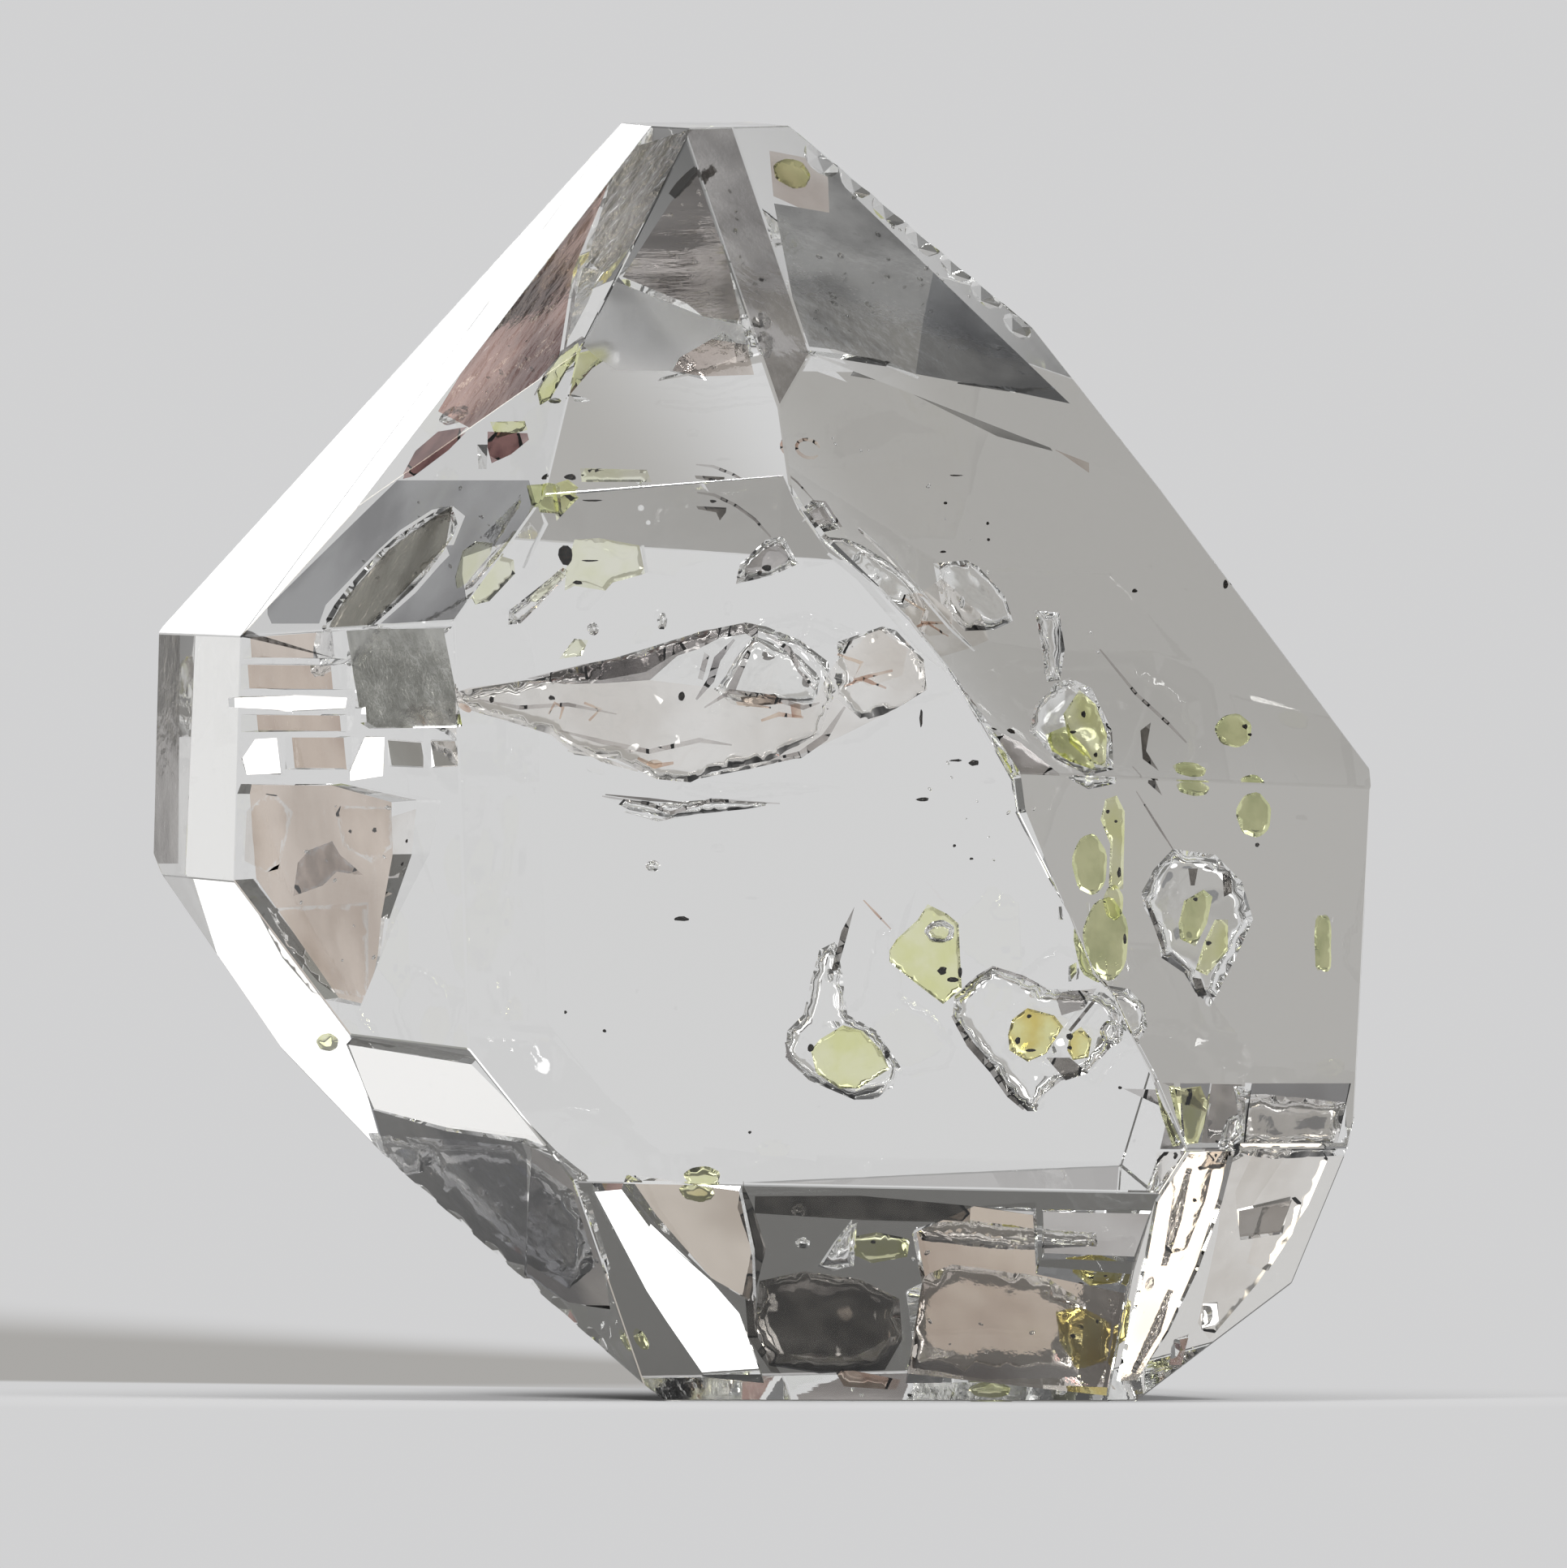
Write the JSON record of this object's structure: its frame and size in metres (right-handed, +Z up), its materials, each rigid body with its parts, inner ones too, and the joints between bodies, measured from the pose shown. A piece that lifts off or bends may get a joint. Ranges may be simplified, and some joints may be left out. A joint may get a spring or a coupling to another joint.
{
  "type": "quartz crystal",
  "caption": "Water-clear double-ended quartz crystal with yellow-green petroleum inclusions, standing on a small flat spot at its lower end.",
  "frame": {"origin": "centre of the crystal's box on the surface it stands on", "axes": "+Z up along the crystal's long axis, -Y out of its broad front face, +X to the right seen from the front"},
  "size_m": [0.0143, 0.0122, 0.0149],
  "materials": {
    "quartz": "clear and colourless, glassy natural faces"
  },
  "bodies": {
    "root": {"crystal": "quartz"}
  },
  "joints": []
}
